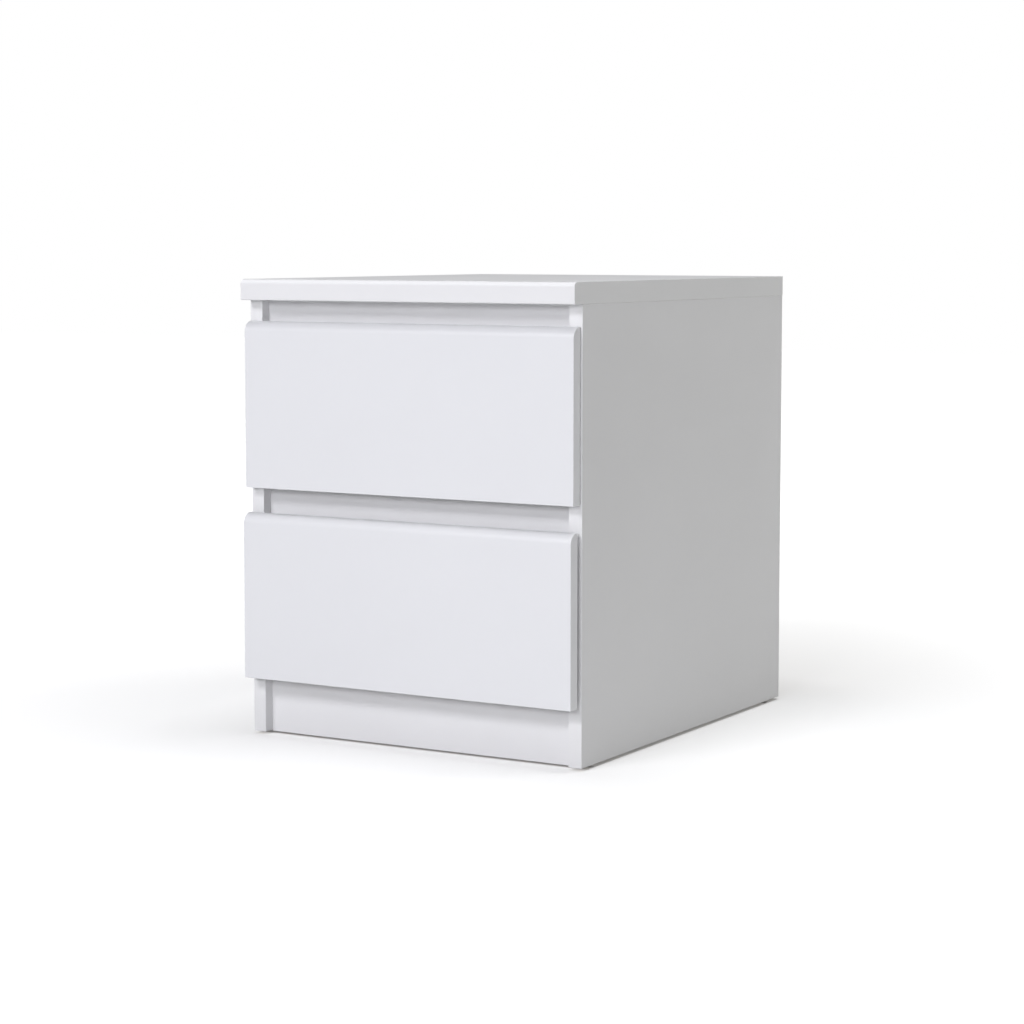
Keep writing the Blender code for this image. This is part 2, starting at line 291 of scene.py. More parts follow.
def brown_hardboard():
    """The screen side of hardboard: pressed fibre with the weave of the press's wire mesh."""
    made, tree, shader, place = start_finish("brown_hardboard")
    fibre = noise(tree, stretch(tree, place, (1.0, 1.0, 0.8)), 330.0, 6, 0.7)
    base = tones(
        tree,
        fibre,
        (0.30, (0.25, 0.155, 0.088)),
        (0.52, (0.36, 0.235, 0.138)),
        (0.74, (0.46, 0.32, 0.20)),
    )
    stain = faint_tones(tree, noise(tree, place, 7.0, 3), (0.80, 0.78, 0.76), (1.0, 1.0, 1.0))
    set_colour(tree, shader, blend_colours(tree, 1.0, base, stain, "MULTIPLY"))
    set_roughness(tree, shader, spread(tree, fibre, 0.66, 0.84))
    split = tree.nodes.new("ShaderNodeSeparateXYZ")
    tree.links.new(place, split.inputs["Vector"])
    weave = None
    for along in ("X", "Z"):
        phase = combine(tree, split.outputs[along], 2 * math.pi / WEAVE_PITCH, "MULTIPLY")
        wave = combine(tree, phase, 0.0, "SINE")
        weave = wave if weave is None else combine(tree, weave, wave)
    relief(tree, shader, combine(tree, combine(tree, weave, 0.25, "MULTIPLY"), fibre), 0.30, 0.00025)
    return made


def white_hardboard():
    """The printed side of hardboard, inside the chest and on the drawer bottoms."""
    made, tree, shader, place = start_finish("white_hardboard")
    broad = noise(tree, place, 8.0, 3)
    set_colour(tree, shader, faint_tones(tree, broad, (0.74, 0.74, 0.73), (0.78, 0.78, 0.77)))
    grain = noise(tree, stretch(tree, place, (1.0, 0.12, 1.0)), 380.0, 4)
    set_roughness(tree, shader, spread(tree, grain, 0.48, 0.62))
    relief(tree, shader, grain, 0.12, 0.00012)
    return made


def epoxy_steel():
    """White powder coat on folded sheet steel, with its orange peel and a few rubbed places."""
    made, tree, shader, place = start_finish("epoxy_steel")
    rubbed = noise(tree, stretch(tree, place, (1.0, 0.08, 1.0)), 150.0, 4)
    coat = tones(
        tree,
        rubbed,
        (0.34, (0.66, 0.66, 0.65)),
        (0.44, (0.79, 0.79, 0.775)),
        (0.8, (0.81, 0.81, 0.80)),
    )
    set_colour(tree, shader, coat)
    peel = noise(tree, place, 620.0, 2)
    set_roughness(tree, shader, spread(tree, peel, 0.26, 0.38))
    relief(tree, shader, peel, 0.22, 0.00015)
    return made


def nylon_wheel():
    """Moulded nylon: slightly translucent off-white with fine mould marks."""
    made, tree, shader, place = start_finish("nylon_wheel")
    cloudy = noise(tree, place, 90.0, 3)
    set_colour(tree, shader, faint_tones(tree, cloudy, (0.70, 0.685, 0.63), (0.76, 0.75, 0.70)))
    marks = noise(tree, place, 1500.0, 2)
    set_roughness(tree, shader, spread(tree, marks, 0.34, 0.48))
    relief(tree, shader, marks, 0.08, 0.00008)
    shader.inputs["Subsurface Weight"].default_value = 0.08
    shader.inputs["Subsurface Scale"].default_value = 0.002
    return made


def cast_zinc():
    """Die-cast zinc of the cam locks: grey, slightly mottled and satin."""
    made, tree, shader, place = start_finish("cast_zinc")
    mottle = noise(tree, place, 520.0, 4)
    set_colour(tree, shader, faint_tones(tree, mottle, (0.40, 0.40, 0.405), (0.60, 0.60, 0.605)))
    set_roughness(tree, shader, spread(tree, mottle, 0.34, 0.52))
    shader.inputs["Metallic"].default_value = 1.0
    relief(tree, shader, mottle, 0.18, 0.0001)
    return made


def plated_screw():
    """Bright zinc plating with turning marks, on screws and nails."""
    made, tree, shader, place = start_finish("plated_screw")
    marks = noise(tree, place, 2600.0, 3)
    set_colour(tree, shader, faint_tones(tree, marks, (0.58, 0.57, 0.54), (0.74, 0.73, 0.70)))
    set_roughness(tree, shader, spread(tree, marks, 0.24, 0.40))
    shader.inputs["Metallic"].default_value = 1.0
    relief(tree, shader, marks, 0.10, 0.00005)
    return made


def glide_plastic():
    """Pale moulded plastic of the floor glides, scuffed where it slides."""
    made, tree, shader, place = start_finish("glide_plastic")
    scuffs = noise(tree, stretch(tree, place, (0.2, 1.0, 1.0)), 700.0, 4)
    worn = tones(tree, scuffs, (0.32, (0.52, 0.51, 0.49)), (0.55, (0.66, 0.655, 0.64)))
    set_colour(tree, shader, worn)
    set_roughness(tree, shader, spread(tree, scuffs, 0.40, 0.62))
    relief(tree, shader, scuffs, 0.20, 0.0001)
    return made


FINISHES = {
    "foil": white_foil(),
    "lacquer": white_lacquer(),
    "band": white_edge_band(),
    "chipboard": raw_chipboard(),
    "brown": brown_hardboard(),
    "print": white_hardboard(),
    "epoxy": epoxy_steel(),
    "nylon": nylon_wheel(),
    "zinc": cast_zinc(),
    "screw": plated_screw(),
    "glide": glide_plastic(),
}


# ---------------------------------------------------------------- shapes

def side_of(normal):
    """The name of the box side that a face looks to, such as +X, or None for a slanting face."""
    for axis, part in zip("XYZ", normal):
        if abs(part) > 0.99:
            return ("+" if part > 0 else "-") + axis
    return None


def new_piece(name, bm, finishes, faces=None):
    """A mesh object in the first finish, with other finishes on the box sides that faces names."""
    bmesh.ops.recalc_face_normals(bm, faces=bm.faces)
    faces = faces or {}
    for face in bm.faces:
        face.material_index = finishes.index(faces.get(side_of(face.normal), finishes[0]))
        face.smooth = True
    mesh = bpy.data.meshes.new(name)
    bm.to_mesh(mesh)
    bm.free()
    for finish in finishes:
        mesh.materials.append(FINISHES[finish])
    obj = bpy.data.objects.new(name, mesh)
    bpy.context.scene.collection.objects.link(obj)
    return obj


def plain_copy(obj):
    """The object as its modifiers leave it, as a plain mesh under the same name."""
    bpy.context.view_layer.update()
    graph = bpy.context.evaluated_depsgraph_get()
    mesh = bpy.data.meshes.new_from_object(obj.evaluated_get(graph))
    name = obj.name
    bpy.data.objects.remove(obj, do_unlink=True)
    mesh.name = name
    made = bpy.data.objects.new(name, mesh)
    bpy.context.scene.collection.objects.link(made)
    return made


def even_shading(obj, angle=50):
    """Smooth rounds beside truly flat faces."""
    obj.data.set_sharp_from_angle(angle=math.radians(angle))
    weighted = obj.modifiers.new("even_shading", "WEIGHTED_NORMAL")
    weighted.keep_sharp = True
    return plain_copy(obj)


def fit(obj, body, slot, *nodes):
    """The piece rides on its body and stands for its CAD nodes; its slot is not used."""
    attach(obj, body)
    if nodes:
        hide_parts(*nodes)


def block(low, high):
    low, high = Vector(low), Vector(high)
    bm = bmesh.new()
    bmesh.ops.create_cube(bm, size=1)
    bmesh.ops.scale(bm, vec=high - low, verts=bm.verts)
    bmesh.ops.translate(bm, vec=(low + high) / 2, verts=bm.verts)
    return bm


def prism(outline, axis, start, end):
    """An outline carried along X with (y, z) points, along Y with (x, z) or along Z with (x, y)."""
    bm = bmesh.new()
    rings = []
    for along in (start, end):
        ring = []
        for first, second in outline:
            point = [first, second]
            point.insert("XYZ".index(axis), along)
            ring.append(bm.verts.new(point))
        rings.append(ring)
    count = len(outline)
    for i in range(count):
        j = (i + 1) % count
        bm.faces.new((rings[0][i], rings[0][j], rings[1][j], rings[1][i]))
    bm.faces.new(rings[0])
    bm.faces.new(rings[1])
    bmesh.ops.recalc_face_normals(bm, faces=bm.faces)
    return bm


def soften(bm, radius=ARRIS, segments=2, chosen=None):
    """Rounds the outward edges, or those that chosen(edge) picks."""
    bm.normal_update()
    edges = [
        edge
        for edge in bm.edges
        if edge.is_convex
        and edge.calc_face_angle(0) > math.radians(50)
        and (chosen is None or chosen(edge))
    ]
    bmesh.ops.bevel(
        bm,
        geom=edges,
        offset=radius,
        offset_type="OFFSET",
        segments=segments,
        profile=0.5,
        affect="EDGES",
    )


def edge_at(y, z):
    """Picks the edges along X that lie at a given y and z."""
    def chosen(edge):
        return all(abs(v.co.y - y) < TOUCH and abs(v.co.z - z) < TOUCH for v in edge.verts)

    return chosen


def rim_edge(z, axis):
    """Picks the long edges along X (0) or Y (1) at a height: the rim of a drawer wall."""
    def chosen(edge):
        first, second = (v.co for v in edge.verts)
        level_with = abs(first.z - z) < TOUCH and abs(second.z - z) < TOUCH
        return level_with and abs(first[axis] - second[axis]) > 0.1

    return chosen


def upright_cylinder(middle_z, radius, length, segments):
    """A closed cylinder round the Z axis with its middle at a height."""
    bm = bmesh.new()
    bmesh.ops.create_cone(
        bm,
        cap_ends=True,
        segments=segments,
        radius1=radius,
        radius2=radius,
        depth=length,
    )
    bmesh.ops.translate(bm, vec=(0, 0, middle_z), verts=bm.verts)
    return bm


def cut_by(obj, cutter):
    """Cuts a helper object out of the piece and removes the helper."""
    cutter.data.materials.clear()
    cutting = obj.modifiers.new("cut_by", "BOOLEAN")
    cutting.operation = "DIFFERENCE"
    cutting.solver = "EXACT"
    cutting.object = cutter
    made = plain_copy(obj)
    bpy.data.objects.remove(cutter, do_unlink=True)
    return made


def carve(obj, cutter_bm):
    """Cuts a shape out of the object."""
    return cut_by(obj, new_piece("cutter", cutter_bm, ["foil"]))


def turned(profile, axis, centre, steps):
    """A profile of (radius, along) points spun about an axis through the centre, with closed ends."""
    bm = bmesh.new()
    verts = [bm.verts.new((radius, 0, along)) for radius, along in profile]
    edges = [bm.edges.new(pair) for pair in zip(verts, verts[1:])]
    bmesh.ops.spin(
        bm,
        geom=verts + edges,
        cent=(0, 0, 0),
        axis=(0, 0, 1),
        angle=2 * math.pi,
        steps=steps,
        use_merge=True,
    )
    bmesh.ops.remove_doubles(bm, verts=bm.verts, dist=1e-6)
    bmesh.ops.transform(bm, matrix=Matrix.Translation(centre) @ AXIS_TURN[axis], verts=bm.verts)
    bmesh.ops.recalc_face_normals(bm, faces=bm.faces)
    return bm


# ---------------------------------------------------------------- repeated fasteners, by Geometry Nodes

def node_tree(name, inputs):
    """A Geometry Nodes tree with named inputs of (name, socket kind, default)."""
    tree = bpy.data.node_groups.new(name, "GeometryNodeTree")
    tree.interface.new_socket("Geometry", in_out="INPUT", socket_type="NodeSocketGeometry")
    for label, kind, default in inputs:
        socket = tree.interface.new_socket(label, in_out="INPUT", socket_type=kind)
        if default is not None:
            socket.default_value = default
    tree.interface.new_socket("Geometry", in_out="OUTPUT", socket_type="NodeSocketGeometry")
    return tree, tree.nodes.new("NodeGroupInput"), tree.nodes.new("NodeGroupOutput")


def end_tree(tree, group_in, group_out, instances):
    """Every tree ends the same way: real geometry in one finish."""
    real = tree.nodes.new("GeometryNodeRealizeInstances")
    finish = tree.nodes.new("GeometryNodeSetMaterial")
    tree.links.new(instances, real.inputs["Geometry"])
    tree.links.new(real.outputs["Geometry"], finish.inputs["Geometry"])
    tree.links.new(group_in.outputs["Finish"], finish.inputs["Material"])
    tree.links.new(finish.outputs["Geometry"], group_out.inputs["Geometry"])


def fastener_tree(name, in_row):
    """One fastener at every host point, or along a row, each turned at random about its own axis."""
    row_inputs = [
        ("Start", "NodeSocketVector", (0.0, 0.0, 0.0)),
        ("Pitch", "NodeSocketVector", (0.0, 0.032, 0.0)),
        ("Count", "NodeSocketInt", 3),
    ]
    inputs = [
        ("Fastener", "NodeSocketObject", None),
        ("Facing", "NodeSocketVector", (0.0, 0.0, 0.0)),
        ("Twist", "NodeSocketFloat", 3.1),
        ("Seed", "NodeSocketInt", 4),
        ("Finish", "NodeSocketMaterial", None),
    ]
    tree, group_in, group_out = node_tree(name, inputs + (row_inputs if in_row else []))
    links = tree.links
    points = group_in.outputs["Geometry"]
    if in_row:
        row = tree.nodes.new("GeometryNodeMeshLine")
        row.mode = "OFFSET"
        links.new(group_in.outputs["Count"], row.inputs["Count"])
        links.new(group_in.outputs["Start"], row.inputs["Start Location"])
        links.new(group_in.outputs["Pitch"], row.inputs["Offset"])
        points = row.outputs["Mesh"]
    info = tree.nodes.new("GeometryNodeObjectInfo")
    links.new(group_in.outputs["Fastener"], info.inputs["Object"])
    twist = tree.nodes.new("FunctionNodeRandomValue")
    twist.data_type = "FLOAT"
    sockets = {socket.identifier: socket for socket in twist.inputs}
    sockets["Min_001"].default_value = 0.0
    links.new(group_in.outputs["Twist"], sockets["Max_001"])
    links.new(group_in.outputs["Seed"], sockets["Seed"])
    turned_about = tree.nodes.new("ShaderNodeCombineXYZ")
    links.new(next(s for s in twist.outputs if s.identifier == "Value_001"), turned_about.inputs["Z"])
    spin = tree.nodes.new("FunctionNodeEulerToRotation")
    links.new(turned_about.outputs["Vector"], spin.inputs["Euler"])
    facing = tree.nodes.new("FunctionNodeEulerToRotation")
    links.new(group_in.outputs["Facing"], facing.inputs["Euler"])
    both = tree.nodes.new("FunctionNodeRotateRotation")
    both.rotation_space = "LOCAL"
    links.new(facing.outputs["Rotation"], both.inputs["Rotation"])
    links.new(spin.outputs["Rotation"], both.inputs["Rotate By"])
    scatter = tree.nodes.new("GeometryNodeInstanceOnPoints")
    links.new(points, scatter.inputs["Points"])
    links.new(info.outputs["Geometry"], scatter.inputs["Instance"])
    links.new(both.outputs["Rotation"], scatter.inputs["Rotation"])
    end_tree(tree, group_in, group_out, scatter.outputs["Instances"])
    return tree


def nail_line_tree():
    """Nail heads at an even spacing round an upright rectangle that faces +Y."""
    tree, group_in, group_out = node_tree(
        "nail_line",
        [
            ("Width", "NodeSocketFloat", 0.38),
            ("Height", "NodeSocketFloat", 0.44),
            ("Spacing", "NodeSocketFloat", NAIL_SPACING),
            ("Middle", "NodeSocketVector", (0.0, 0.0, 0.0)),
            ("Head Radius", "NodeSocketFloat", NAIL_RADIUS),
            ("Head Rise", "NodeSocketFloat", NAIL_RISE),
            ("Finish", "NodeSocketMaterial", None),
        ],
    )
    links = tree.links
    path = tree.nodes.new("GeometryNodeCurvePrimitiveQuadrilateral")
    links.new(group_in.outputs["Width"], path.inputs["Width"])
    links.new(group_in.outputs["Height"], path.inputs["Height"])
    even = tree.nodes.new("GeometryNodeResampleCurve")
    even.mode = "LENGTH"
    links.new(path.outputs["Curve"], even.inputs["Curve"])
    links.new(group_in.outputs["Spacing"], even.inputs["Length"])
    head = tree.nodes.new("GeometryNodeMeshCone")
    head.inputs["Vertices"].default_value = 12
    links.new(group_in.outputs["Head Rise"], head.inputs["Depth"])
    links.new(group_in.outputs["Head Radius"], head.inputs["Radius Bottom"])
    crown = tree.nodes.new("ShaderNodeMath")
    crown.operation = "MULTIPLY"
    crown.inputs[1].default_value = 0.7
    links.new(group_in.outputs["Head Radius"], crown.inputs[0])
    links.new(crown.outputs["Value"], head.inputs["Radius Top"])
    scatter = tree.nodes.new("GeometryNodeInstanceOnPoints")
    links.new(even.outputs["Curve"], scatter.inputs["Points"])
    links.new(head.outputs["Mesh"], scatter.inputs["Instance"])
    upright = tree.nodes.new("GeometryNodeTransform")
    upright.inputs["Rotation"].default_value = (-math.pi / 2, 0.0, 0.0)
    links.new(scatter.outputs["Instances"], upright.inputs["Geometry"])
    links.new(group_in.outputs["Middle"], upright.inputs["Translation"])
    end_tree(tree, group_in, group_out, upright.outputs["Geometry"])
    return tree


FASTENER_TREE = fastener_tree("set_fasteners", False)
ROW_TREE = fastener_tree("fastener_row", True)
NAIL_TREE = nail_line_tree()


def run_tree(name, points, tree, values):
    """Runs a tree on a mesh of loose points and keeps the result as a plain mesh."""
    mesh = bpy.data.meshes.new(name)
    mesh.from_pydata([tuple(point) for point in points], [], [])
    host = bpy.data.objects.new(name, mesh)
    bpy.context.scene.collection.objects.link(host)
    modifier = host.modifiers.new("repeat", "NODES")
    modifier.node_group = tree
    for item in tree.interface.items_tree:
        if item.item_type == "SOCKET" and item.in_out == "INPUT" and item.name in values:
            modifier[item.identifier] = values[item.name]
    made = plain_copy(host)
    for polygon in made.data.polygons:
        polygon.use_smooth = True
    made.data.set_sharp_from_angle(angle=math.radians(35))
    return made


FACING = {
    "+X": (0.0, math.pi / 2, 0.0),
    "-X": (0.0, -math.pi / 2, 0.0),
    "+Y": (-math.pi / 2, 0.0, 0.0),
    "-Y": (math.pi / 2, 0.0, 0.0),
    "-Z": (math.pi, 0.0, 0.0),
}


def fastener_values(fastener, facing, finish, seed, twist):
    return {
        "Fastener": fastener,
        "Facing": FACING[facing],
        "Twist": twist,
        "Seed": seed,
        "Finish": FINISHES[finish],
    }


def set_fasteners(name, fastener, points, facing, finish, seed=4, twist=3.1):
    return run_tree(name, points, FASTENER_TREE, fastener_values(fastener, facing, finish, seed, twist))


def fastener_row(name, fastener, start, pitch, count, facing, finish, seed=4, twist=3.1):
    values = fastener_values(fastener, facing, finish, seed, twist)
    values.update({"Start": tuple(start), "Pitch": tuple(pitch), "Count": count})
    return run_tree(name, [(0, 0, 0)], ROW_TREE, values)


def cross_recess(depth, length, width, top):
    """Two crossed tapered bars that cut a driver recess down from the top."""
    bars = []
    for size in ((length, width), (width, length)):
        bar = block((-size[0] / 2, -size[1] / 2, top - depth), (size[0] / 2, size[1] / 2, top + depth))
        for vert in bar.verts:
            if vert.co.z < top:
                vert.co.x *= 0.55
                vert.co.y *= 0.55
        bars.append(bar)
    return bars


def hidden(obj):
    """A master shape that only the trees read: it is taken out of the scene."""
    for collection in list(obj.users_collection):
        collection.objects.unlink(obj)
    return obj


def pan_head_screw():
    """A domed screw head with a cross recess, standing on z = 0."""
    r, h = SCREW_HEAD_RADIUS, SCREW_HEAD_HEIGHT
    profile = [
        (0.0, h),
        (0.45 * r, 0.985 * h),
        (0.75 * r, 0.86 * h),
        (0.93 * r, 0.60 * h),
        (r, 0.28 * h),
        (r, -0.0003),
        (0.0, -0.0003),
    ]
    head = new_piece("pan_head", turned(profile, "Z", (0, 0, 0), 20), ["screw"])
    for bar in cross_recess(0.0012, 1.25 * r, 0.28 * r, h):
        head = carve(head, bar)
    return hidden(head)


def cam_lock(radius, depth):
    """A cam's face with a cross recess and a pointer notch, its body reaching down into the board."""
    rim = 0.0005
    profile = [
        (0.0, 0.0),
        (radius - rim, 0.0),
        (radius, -rim),
        (radius, -depth),
        (0.0, -depth),
    ]
    cam = new_piece("cam_master", turned(profile, "Z", (0, 0, 0), 36), ["zinc"])
    for bar in cross_recess(0.0035, 1.05 * radius, 0.26 * radius, 0.0):
        cam = carve(cam, bar)
    arrow = [(-0.12 * radius, 0.66 * radius), (0.12 * radius, 0.66 * radius), (0.0, 0.90 * radius)]
    return hidden(carve(cam, prism(arrow, "Z", -0.0006, 0.001)))


def nail_head(name, profile):
    return hidden(new_piece(name, turned(profile, "Z", (0, 0, 0), 12), ["screw"]))


# ---------------------------------------------------------------- carcass

def size_of(node):
    low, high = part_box(node)
    return Vector(low), Vector(high)


def cam_faces(nodes, outward):
    """Where a cam's face stands in its hole."""
    sign = 1 if outward[0] == "+" else -1
    index = "XYZ".index(outward[1])
    points = []
    for node in nodes:
        low, high = size_of(node)
        point = (low + high) / 2
        point[index] = high[index] if sign > 0 else low[index]
        points.append(point)
    return points


def drill_cams(obj, nodes, outward):
    """Bores a blind hole for each cam, a little wider than the cam and just as deep."""
    low, high = size_of(nodes[0])
    depth, _, diameter = sorted((high - low)[:])
    bit = new_piece(
        "bit",
        upright_cylinder(0.001 - depth / 2, diameter / 2 + CAM_CLEARANCE, depth + 0.002, 40),
        ["foil"],
    )
    bores = set_fasteners("bores", hidden(bit), cam_faces(nodes, outward), outward, "foil", twist=0.0)
    return cut_by(obj, bores)


def top_board():
    low, high = size_of("top_panel")
    bm = block(low, high)
    soften(bm, TOP_NOSING, 8, edge_at(low.y, high.z))
    soften(bm, TOP_LOWER_NOSING, 4, edge_at(low.y, low.z))
    soften(bm)
    obj = new_piece("top_board", bm, ["foil", "band"], {"+Y": "band", "+X": "band", "-X": "band"})
    fit(even_shading(obj), "cabinet", "white_foil", "top_panel")


def side_board(side_name, side):
    """A side of the chest: rebated for the back, edged front and rear, raw at its foot and top."""
    node = f"{side_name}_side_panel"
    low, high = size_of(node)
    inner, outer = (high.x, low.x) if side < 0 else (low.x, high.x)
    back_low, _ = size_of("back_panel")
    rebate_y = back_low.y - CAM_CLEARANCE
    rebate_x = inner + side * REBATE
    outline = [
        (outer, low.y),
        (outer, high.y),
        (rebate_x, high.y),
        (rebate_x, rebate_y),
        (inner, rebate_y),
        (inner, low.y),
    ]
    bm = prism(outline, "Z", low.z, high.z + JOINT_CLOSING)
    soften(bm, HAIR_ARRIS)
    sides = {"-Y": "band", "+Y": "band", "-Z": "chipboard", "+Z": "chipboard"}
    obj = new_piece(f"{side_name}_side_board", bm, ["foil", "band", "chipboard"], sides)
    cams = [f"{side_name}_front_top_cam", f"{side_name}_rear_top_cam"]
    obj = drill_cams(obj, cams, "-X" if side > 0 else "+X")
    fit(even_shading(obj), "cabinet", "white_foil", node)


def cross_rail(name, node, sides, cam_side):
    """A board between the sides, with its two cams let into one face."""
    low, high = size_of(node)
    low.x -= JOINT_CLOSING
    high.x += JOINT_CLOSING
    bm = block(low, high)
    soften(bm, HAIR_ARRIS)
    obj = new_piece(name, bm, ["foil", "band", "chipboard"], sides)
    obj = drill_cams(obj, [f"{node}_left_cam", f"{node}_right_cam"], cam_side)
    fit(even_shading(obj), "cabinet", "white_foil", node)


def cross_rails():
    ends = {"-X": "chipboard", "+X": "chipboard"}
    cross_rail("upper_gap_rail", "upper_front_rail", {**ends, "-Z": "band", "+Z": "chipboard"}, "+Y")
    cross_rail("middle_gap_rail", "middle_front_rail", {**ends, "-Z": "band", "+Z": "band"}, "+Y")
    cross_rail("plinth_face", "plinth_board", {**ends, "-Z": "chipboard", "+Z": "band"}, "+Y")
    cross_rail("rear_crown_rail", "rear_top_rail", {**ends, "-Z": "band", "+Z": "chipboard"}, "-Y")
    cross_rail("rear_foot_rail", "rear_bottom_rail", {**ends, "-Z": "chipboard", "+Z": "band"}, "-Y")


def carcass_cams():
    """All the cams of the chest: four hold the top, and two hold each rail and the plinth."""
    low, high = size_of("left_front_top_cam")
    master = cam_lock((high.z - low.z) / 2, high.x - low.x)
    rails_behind = ("upper_front_rail", "middle_front_rail", "plinth_board")
    rails_ahead = ("rear_top_rail", "rear_bottom_rail")
    groups = (
        ("left_top_cam_locks", ["left_front_top_cam", "left_rear_top_cam"], "+X"),
        ("right_top_cam_locks", ["right_front_top_cam", "right_rear_top_cam"], "-X"),
        ("front_rail_cam_locks", [f"{r}_{s}_cam" for r in rails_behind for s, _ in SIDES], "+Y"),
        ("rear_rail_cam_locks", [f"{r}_{s}_cam" for r in rails_ahead for s, _ in SIDES], "-Y"),
    )
    for seed, (name, nodes, outward) in enumerate(groups):
        obj = set_fasteners(name, master, cam_faces(nodes, outward), outward, "zinc", seed)
        fit(obj, "cabinet", "zinc", *nodes)


def back_board():
    """Hardboard with its printed side in and its screen side out, nailed all round."""
    low, high = size_of("back_panel")
    bm = block(low, high)
    soften(bm, HAIR_ARRIS, 1)
    obj = new_piece("back_board", bm, ["brown", "print"], {"-Y": "print"})
    fit(even_shading(obj), "cabinet", "hardboard", "back_panel")
    values = {
        "Width": high.x - low.x - 2 * NAIL_INSET,
        "Height": high.z - low.z - 2 * NAIL_INSET,
        "Spacing": NAIL_SPACING,
        "Middle": ((low.x + high.x) / 2, high.y, (low.z + high.z) / 2),
        "Head Radius": NAIL_RADIUS,
        "Head Rise": NAIL_RISE,
        "Finish": FINISHES["screw"],
    }
    fit(run_tree("back_nails", [(0, 0, 0)], NAIL_TREE, values), "cabinet", "zinc")


def floor_glides():
    """Turned plastic glides with a nail sunk in the middle of each."""
    nails = []
    for end in ("front", "rear"):
        for side_name, _ in SIDES:
            node = f"{side_name}_{end}_glide"
            low, high = size_of(node)
            radius = (high.x - low.x) / 2
            height = high.z - low.z
            middle = ((low.x + high.x) / 2, (low.y + high.y) / 2)
            profile = [
                (0.0, GLIDE_NAIL_SINK),
                (0.0018, GLIDE_NAIL_SINK),
                (0.0026, 0.0),
                (0.80 * radius, 0.0),
                (0.95 * radius, 0.25 * height),
                (radius, 0.55 * height),
                (radius, height),
                (0.0, height),
            ]
            bm = turned(profile, "Z", (*middle, low.z), 32)
            obj = new_piece(f"{side_name}_{end}_floor_glide", bm, ["glide"])
            obj.data.set_sharp_from_angle(angle=math.radians(40))
            fit(obj, "cabinet", "glide_plastic", node)
            nails.append((*middle, low.z + GLIDE_NAIL_SINK + 0.0001))
    master = nail_head("glide_nail", [(0.0, 0.0004), (0.0011, 0.0002), (0.0012, 0.0), (0.0, 0.0)])
    fit(set_fasteners("glide_nails", master, nails, "-Z", "screw"), "cabinet", "zinc")


# ---------------------------------------------------------------- runners

def bend_path(path):
    """The path with each inner corner rounded to the bend of the sheet."""
    points = [Vector(p) for p in path]
    out = [points[0]]
    for before, corner, after in zip(points, points[1:], points[2:]):
        back, on = (before - corner).normalized(), (after - corner).normalized()
        half = back.angle(on) / 2
        reach = BEND / math.tan(half)
        centre = corner + (back + on).normalized() * BEND / math.sin(half)
        start = corner + back * reach - centre
        end = corner + on * reach - centre
        sweep = start.angle_signed(end)
        for step in range(BEND_STEPS + 1):
            turn = Matrix.Rotation(-sweep * step / BEND_STEPS, 2)
            out.append(centre + turn @ start)
    out.append(points[-1])
    return out


def sheet_outline(path):
    """The closed section of a folded sheet from the path of its middle."""
    points = bend_path(path)
    left, right = [], []
    for i, point in enumerate(points):
        before = points[max(i - 1, 0)]
        after = points[min(i + 1, len(points) - 1)]
        along = (after - before).normalized()
        normal = Vector((-along.y, along.x)) * SHEET / 2
        left.append(point + normal)
        right.append(point - normal)
    return [tuple(p) for p in left + right[::-1]]


def punches():
    """The press tools of the runners: a round hole and a hole slotted along the runner."""
    round_one = upright_cylinder(0, HOLE_RADIUS, PUNCH_LENGTH, 20)
    outline = []
    steps = 10
    for end, first in ((1, 0), (-1, 180)):
        for step in range(steps + 1):
            angle = math.radians(first + 180 * step / steps)
            along = end * (SLOT_LENGTH / 2 - HOLE_RADIUS) + HOLE_RADIUS * math.sin(angle)
            outline.append((HOLE_RADIUS * math.cos(angle), along))
    slotted = prism(outline, "Z", -PUNCH_LENGTH / 2, PUNCH_LENGTH / 2)
    shapes = (("round_punch", round_one), ("slot_punch", slotted))
    return [hidden(new_piece(name, bm, ["epoxy"])) for name, bm in shapes]


def punched(obj, tools, start, facing):
    """Round and slotted holes by turns along a runner."""
    rows = ((HOLE_SETBACK, HOLE_COUNT), (SLOT_SETBACK, SLOT_COUNT))
    for tool, (setback, count) in zip(tools, rows):
        first = Vector(start) + Vector((0, setback, 0))
        pitch = (0, HOLE_PITCH, 0)
        holes = fastener_row("holes", tool, first, pitch, count, facing, "epoxy", twist=0.0)
        obj = cut_by(obj, holes)
    return obj


def nylon_roller(name, node, body):
    """A flanged nylon wheel with a raised hub on each face."""
    low, high = size_of(node)
    radius = (high.z - low.z) / 2
    half = (high.x - low.x) / 2
    profile = [
        (WHEEL_BORE, half),
        (0.0045, half),
        (0.0049, half - 0.0004),
        (0.0051, half - 0.0009),
        (radius - 0.0016, half - 0.0009),
        (radius - 0.0012, half - 0.0003),
        (radius - 0.0005, half - 0.0002),
        (radius, half - 0.0007),
    ]
    profile += [(r, -along) for r, along in reversed(profile)]
    profile.append(profile[0])
    bm = turned(profile, "X", (low + high) / 2, 40)
    obj = new_piece(name, bm, ["nylon"])
    obj.data.set_sharp_from_angle(angle=math.radians(38))
    fit(obj, body, "nylon", node)


def stub_and_rivet(y, z, from_x, to_x):
    """The steel stub a wheel turns on and its domed rivet head at to_x."""
    outwards = 1 if to_x > from_x else -1
    axis = "X" if outwards > 0 else "-X"
    length = abs(to_x - from_x)
    profile = [
        (0.0, length + 0.0006),
        (0.0020, length + 0.0005),
        (0.0034, length + 0.0002),
        (RIVET_RADIUS, length - 0.0001),
        (RIVET_RADIUS, length - 0.0003),
        (STUB_RADIUS, length - 0.0003),
        (STUB_RADIUS, -0.0004),
        (0.0, -0.0004),
    ]
    return turned(profile, axis, (from_x, y, z), 24)


